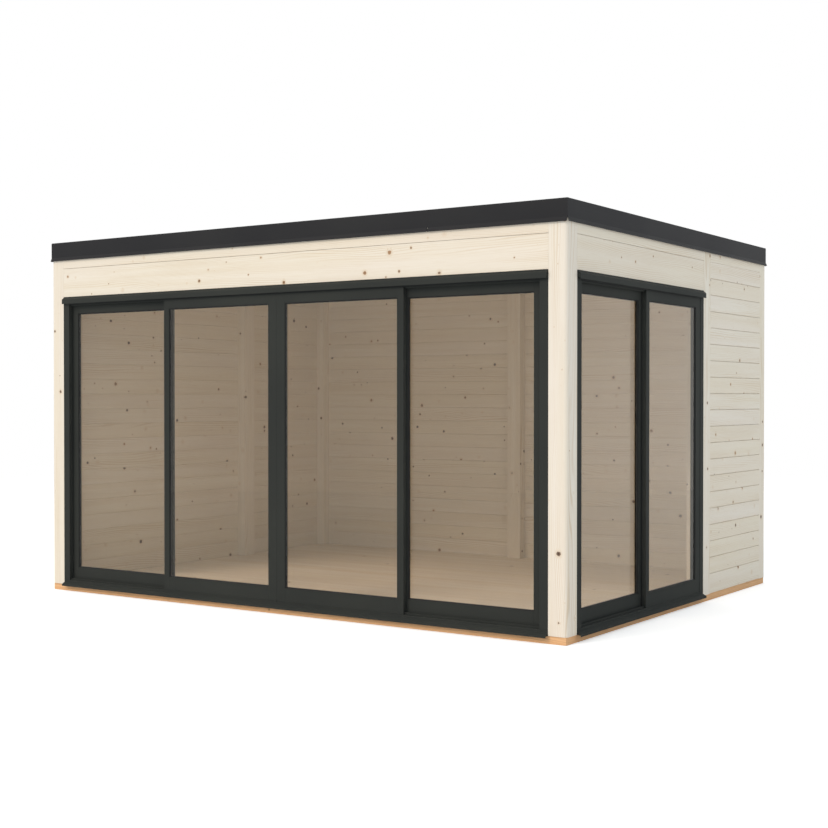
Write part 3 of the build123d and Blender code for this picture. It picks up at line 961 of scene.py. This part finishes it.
fixedRight, slideRight = mirrored(fixedLeft), mirrored(slideLeft)
sash("front_fixed", frontUnit, "building", [fixedLeft, fixedRight], ["front_fixed_sashes"],
     [footStrip(fixedLeft), footStrip(fixedRight)])
gap = door["brushGap"]
sash("front_left_slide", frontUnit, "front_left_slider", [slideLeft], ["front_left_sliding_sash"],
     [sideStrip(slideLeft), footStrip(slideLeft, gap)], [interlockBrush(slideLeft, True)])
sash("front_right_slide", frontUnit, "front_right_slider", [slideRight], ["front_right_sliding_sash"],
     [footStrip(slideRight, gap)], [interlockBrush(slideRight, False)])
sash("side_fixed", sideUnit, "building", [sideFixed], ["side_fixed_sash"], [footStrip(sideFixed)])
sash("side_slide", sideUnit, "side_slider", [sideSlide], ["side_sliding_sash"],
     [sideStrip(sideSlide), footStrip(sideSlide, gap)], [interlockBrush(sideSlide, True)])
for name in (
    "front_fixed_panes", "front_left_sliding_pane", "front_right_sliding_pane", "side_fixed_pane",
    "side_sliding_pane",
):
    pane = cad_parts[name]
    pane.data.materials.clear()
    pane.data.materials.append(glass)
print("doors made")

# Roof covering: rubber sheets with lapped joints, turned up at the edges
coverLook = {
    "sheet": 1.06, "lap": 0.05, "thickness": 0.003, "upstand": 0.003, "leastSheet": 0.2,
    "lapSink": 0.001, "lapRise": 0.0022, "bevel": 0.0012,
}
cover = MetalShape()
coverX, coverY = halfLength - house["edgeBoard"], halfDepth - house["edgeBoard"]
level, upstand = house["deckTop"] + coverLook["thickness"], coverLook["upstand"]
inside = (-coverY + upstand, coverY - upstand)
cover.blocks(
    alongX,
    [((-coverX, coverX), (-coverY, coverY), (house["deckTop"], house["postTop"]))],
    [((-coverX + upstand, coverX - upstand), inside, (level, level + past))],
)
x = -coverX + coverLook["sheet"]
lapHeight = (level - coverLook["lapSink"], level + coverLook["lapRise"])
while x < coverX - coverLook["leastSheet"]:
    cover.blocks(alongX, [((x - coverLook["lap"], x), inside, lapHeight)])
    x += coverLook["sheet"]
metal(
    "roof_covering_sheets", cover, "building", ["roof_covering"],
    coverLook["bevel"], "roof_membrane", rubber,
)

# Folded fascia sheets with a kicked out hem, in lengths that overlap at a joint
fasciaLook = {
    "top": 2.5, "bottom": 2.368, "fold": 0.058, "sheet": 0.002, "hemReach": 0.013, "hemDrop": 0.026,
    "foldRound": 0.004, "foldSteps": 5, "hemRound": 0.0012, "frontJoint": 1.159, "seam": 0.0003,
    "hemGap": 0.005, "lapHalf": 0.02, "lapHeight": (0.003, 0.022), "lapBehind": (1.1, 1.6),
}


def fascia(side, place, half, joints):
    look = fasciaLook
    top, sheetWidth, rounding = look["top"], look["sheet"], look["foldRound"]
    hemTop = look["bottom"] + look["hemDrop"]
    outer = arc(top - rounding, -sheetWidth + rounding, rounding, -90, 0, look["foldSteps"])
    inner = arc(top - rounding, -sheetWidth + rounding, rounding - sheetWidth, 0, -90, look["foldSteps"])
    sheetOutline = [(hemTop, -sheetWidth), *outer, (top, look["fold"]), (top - sheetWidth, look["fold"])]
    sheetOutline += [*inner, (hemTop, 0)]
    bottom, hem, rounded = look["bottom"], -look["hemReach"], look["hemRound"]
    hemOutline = [(hemTop, -sheetWidth), (bottom + rounded, hem), (bottom, hem + rounded),
                  (bottom, hem + sheetWidth), (hemTop, 0)]
    shape = MetalShape()
    cuts = [-half, *joints, half]
    for start, end in zip(cuts, cuts[1:]):
        first, last = (start in joints), (end in joints)
        shape.run(
            sheetOutline, place,
            start + look["seam"] / 2 if first else mitre(half, -1),
            end - look["seam"] / 2 if last else mitre(half, 1),
        )
        shape.run(hemOutline, place, start + first * look["hemGap"] / 2, end - last * look["hemGap"] / 2)
    slope = (look["hemReach"] - sheetWidth) / look["hemDrop"]
    lapOutline = []
    (low, high), (near, far) = look["lapHeight"], look["lapBehind"]
    for height, behind in ((low, near), (high, near), (high, far), (low, far)):
        front = -look["hemReach"] + slope * height
        lapOutline.append((look["bottom"] + height, front + behind * sheetWidth))
    for joint in joints:
        shape.run(lapOutline, place, joint - look["lapHalf"], joint + look["lapHalf"])
    metal("fascia_" + side + "_sheet", shape, "building", ["fascia_" + side], 0, "fascia_sheet", sheet)


fascia("front", fromFront, halfLength, (fasciaLook["frontJoint"],))
fascia("back", fromBack, halfLength, (fasciaLook["frontJoint"],))
fascia("left", fromLeft, halfDepth, ())
fascia("right", fromRight, halfDepth, ())
print("roof covering and fascia made")

# Floor: a pale disc that fades out to the white round it
groundLook = {
    "radius": 30, "steps": 96, "drop": 0.0005, "fadeFrom": 7, "fadeTo": 16,
    "colour": tone(242, 242, 242), "lift": 0.45,
}
ground = bmesh.new()
bmesh.ops.create_circle(ground, cap_ends=True, radius=groundLook["radius"], segments=groundLook["steps"])
groundMesh = bpy.data.meshes.new("ground")
ground.to_mesh(groundMesh)
ground.free()
groundObject = bpy.data.objects.new("ground", groundMesh)
groundObject.location.z = -groundLook["drop"]
bpy.context.scene.collection.objects.link(groundObject)
shader = Shader(bpy.data.materials.new("paleGround"))
seen = Field(shader, shader.node("ShaderNodeLightPath").socket.node.outputs["Is Camera Ray"])
place = shader.node("ShaderNodeTexCoord", {}, output=3)
spread = shader.node("ShaderNodeVectorMath", {"operation": "LENGTH"}, [place], output=1)
flat = shader.node("ShaderNodeBsdfDiffuse", {}, {"Color": groundLook["colour"]})
glow = shader.node("ShaderNodeEmission", {}, {"Strength": seen * groundLook["lift"]})
flat = shader.node("ShaderNodeAddShader", {}, [flat, glow])
clear = shader.node("ShaderNodeBsdfTransparent")
fade = spread.rise(groundLook["fadeFrom"], groundLook["fadeTo"])
shown = shader.node("ShaderNodeMixShader", {}, {0: fade, 1: flat, 2: clear})
groundMesh.materials.append(shader.finish(shown))

# Studio light: an even sky that shows as white, and a soft lamp from the front left
lightLook = {
    "sky": (0.69, 0.745, 0.785, 1), "white": (1, 1, 1, 1),
    "lampPower": 1.25, "lampAngle": 25, "lampTint": (1.0, 0.86, 0.73), "lampAim": (0.35, 1, -0.75),
}
world = bpy.data.worlds.new("studio")
bpy.context.scene.world = world
sky = Shader(world)
rays = sky.node("ShaderNodeLightPath").socket.node.outputs
shows = Field(sky, rays["Is Camera Ray"]).greater(Field(sky, rays["Is Glossy Ray"]))
shows = shows.greater(Field(sky, rays["Is Transmission Ray"]))
skyColour = sky.mixColours(shows, lightLook["sky"], lightLook["white"])
background = sky.node("ShaderNodeBackground", {}, {"Color": skyColour, "Strength": 1.0})
sky.node("ShaderNodeOutputWorld", {}, {"Surface": background})
lampData = bpy.data.lights.new("softKey", "SUN")
lampData.energy = lightLook["lampPower"]
lampData.angle = math.radians(lightLook["lampAngle"])
lampData.color = lightLook["lampTint"]
lamp = bpy.data.objects.new("softKey", lampData)
lamp.rotation_euler = Vector(lightLook["lampAim"]).to_track_quat("-Z", "Y").to_euler()
bpy.context.scene.collection.objects.link(lamp)
bpy.context.scene.view_settings.view_transform = "Standard"
print("light and ground made")
